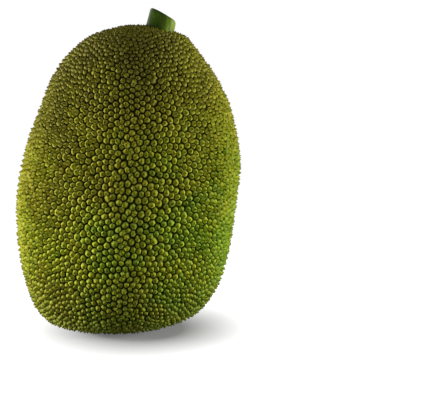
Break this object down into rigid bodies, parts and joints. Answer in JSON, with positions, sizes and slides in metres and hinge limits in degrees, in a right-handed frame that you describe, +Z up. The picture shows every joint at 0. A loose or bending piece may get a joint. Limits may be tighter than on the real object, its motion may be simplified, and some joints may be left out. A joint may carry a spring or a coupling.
{
  "type": "jackfruit",
  "caption": "Whole jackfruit standing upright on its blossom end, its rind covered in blunt pointed tubercles, with the cut stub of its stalk on top.",
  "frame": {"origin": "on the resting surface, under the middle of the fruit's box", "axes": "+Z up from the blossom end towards the stalk; +X to the side the stalk leans to; -Y is the front"},
  "size_m": [0.2412, 0.2266, 0.3359],
  "materials": {
    "rind": "knobbly olive green rind with yellower slopes and small dark brown tips, slightly waxy",
    "stalk_skin": "smooth fresh green bark with a satin sheen, and a pale fibrous cut end"
  },
  "bodies": {
    "root": {"fruit": "rind", "stalk": "stalk_skin"}
  },
  "joints": []
}
